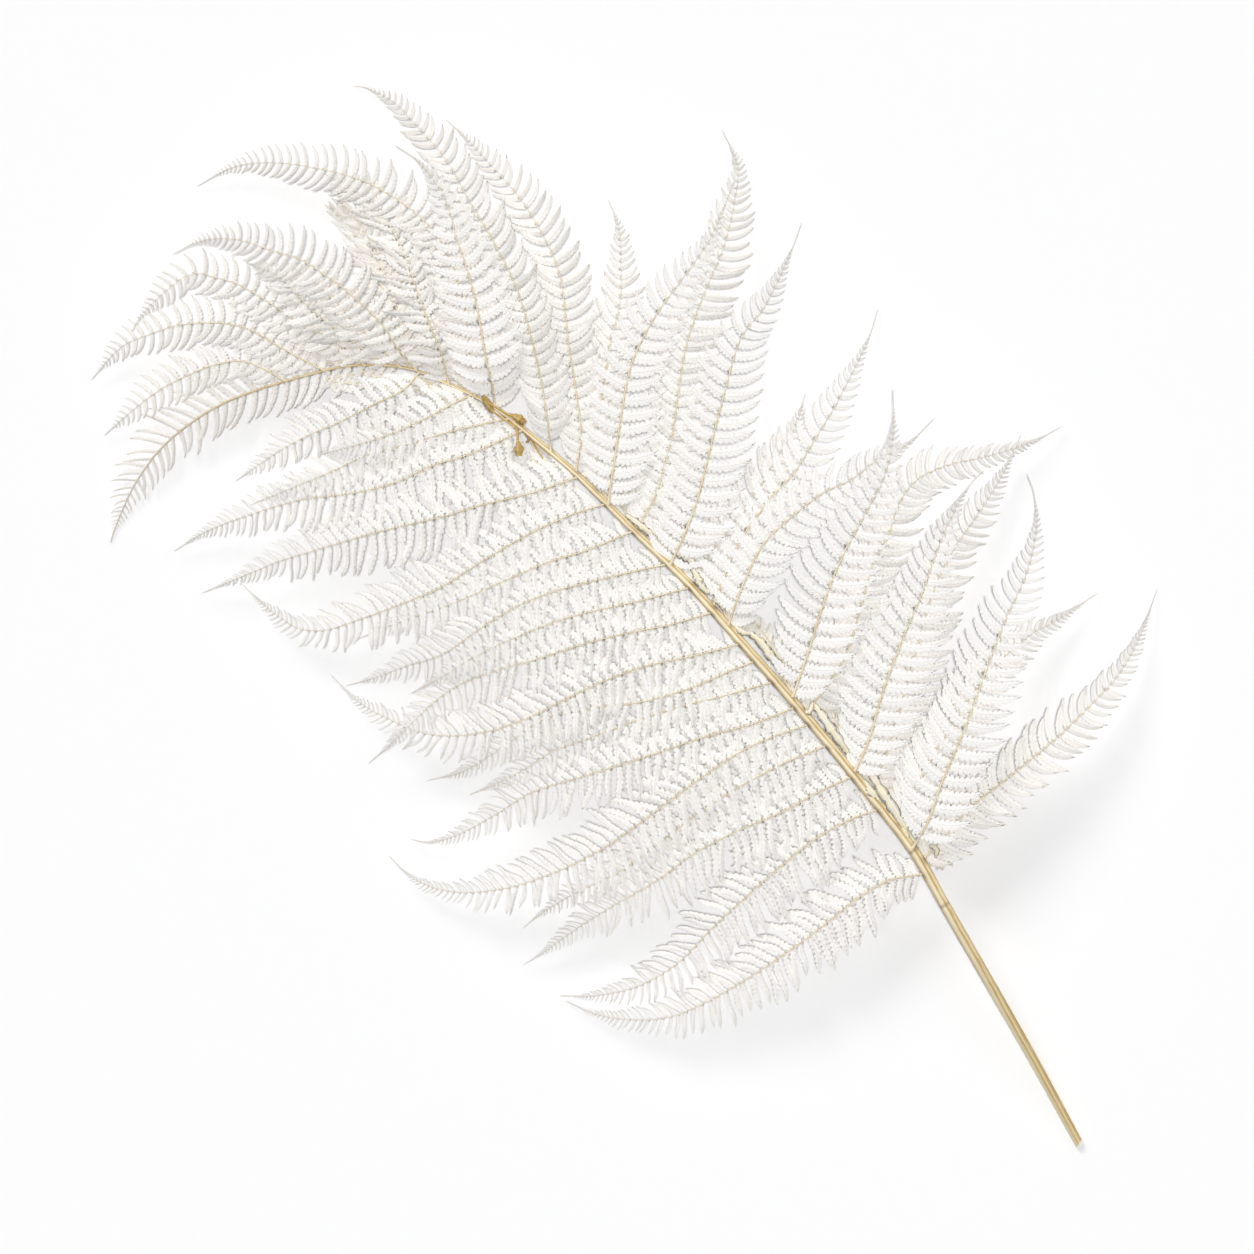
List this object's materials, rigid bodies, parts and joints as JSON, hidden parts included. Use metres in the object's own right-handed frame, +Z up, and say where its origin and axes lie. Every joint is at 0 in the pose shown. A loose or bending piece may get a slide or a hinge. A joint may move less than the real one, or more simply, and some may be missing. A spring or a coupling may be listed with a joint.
{
  "type": "bracken frond",
  "caption": "Dried, bleached bracken frond lying flat: an arched straw-coloured stem with white pinnae of cut leaflets on both sides and a curved leafy tip.",
  "frame": {"origin": "middle of the frond's bounding box, on the surface that it lies on", "axes": "+Y from the cut end of the stem towards the leafy tip, +Z up from the surface"},
  "size_m": [0.4028, 0.652, 0.0496],
  "materials": {
    "straw": "dry ribbed straw-coloured stem, satin",
    "leaf": "bleached papery leaf, matte"
  },
  "bodies": {
    "root": {"rachis": "straw", "pinna_end": "leaf", "pinna_left_01": "leaf", "pinna_left_02": "leaf", "pinna_left_03": "leaf", "pinna_left_04": "leaf", "pinna_left_05": "leaf", "pinna_left_06": "leaf", "pinna_left_07": "leaf", "pinna_left_08": "leaf", "pinna_left_09": "leaf", "pinna_left_10": "leaf", "pinna_left_11": "leaf", "pinna_left_12": "leaf", "pinna_left_13": "leaf", "pinna_left_14": "leaf", "pinna_left_15": "leaf", "pinna_left_16": "leaf", "pinna_left_17": "leaf", "pinna_left_18": "leaf", "pinna_left_19": "leaf", "pinna_right_01": "leaf", "pinna_right_02": "leaf", "pinna_right_03": "leaf", "pinna_right_04": "leaf", "pinna_right_05": "leaf", "pinna_right_06": "leaf", "pinna_right_08": "leaf", "pinna_right_09": "leaf", "pinna_right_10": "leaf", "pinna_right_11": "leaf", "pinna_right_12": "leaf", "pinna_right_13": "leaf", "pinna_right_14": "leaf", "pinna_right_15": "leaf", "pinna_right_16": "leaf", "pinna_right_17": "leaf", "pinna_right_18": "leaf", "pinna_right_19": "leaf", "pinna_right_20": "leaf", "pinna_right_21": "leaf", "pinna_right_22": "leaf", "pinna_right_23": "leaf", "pinna_right_24": "leaf", "pinna_right_25": "leaf", "pinna_right_26": "leaf"}
  },
  "joints": []
}
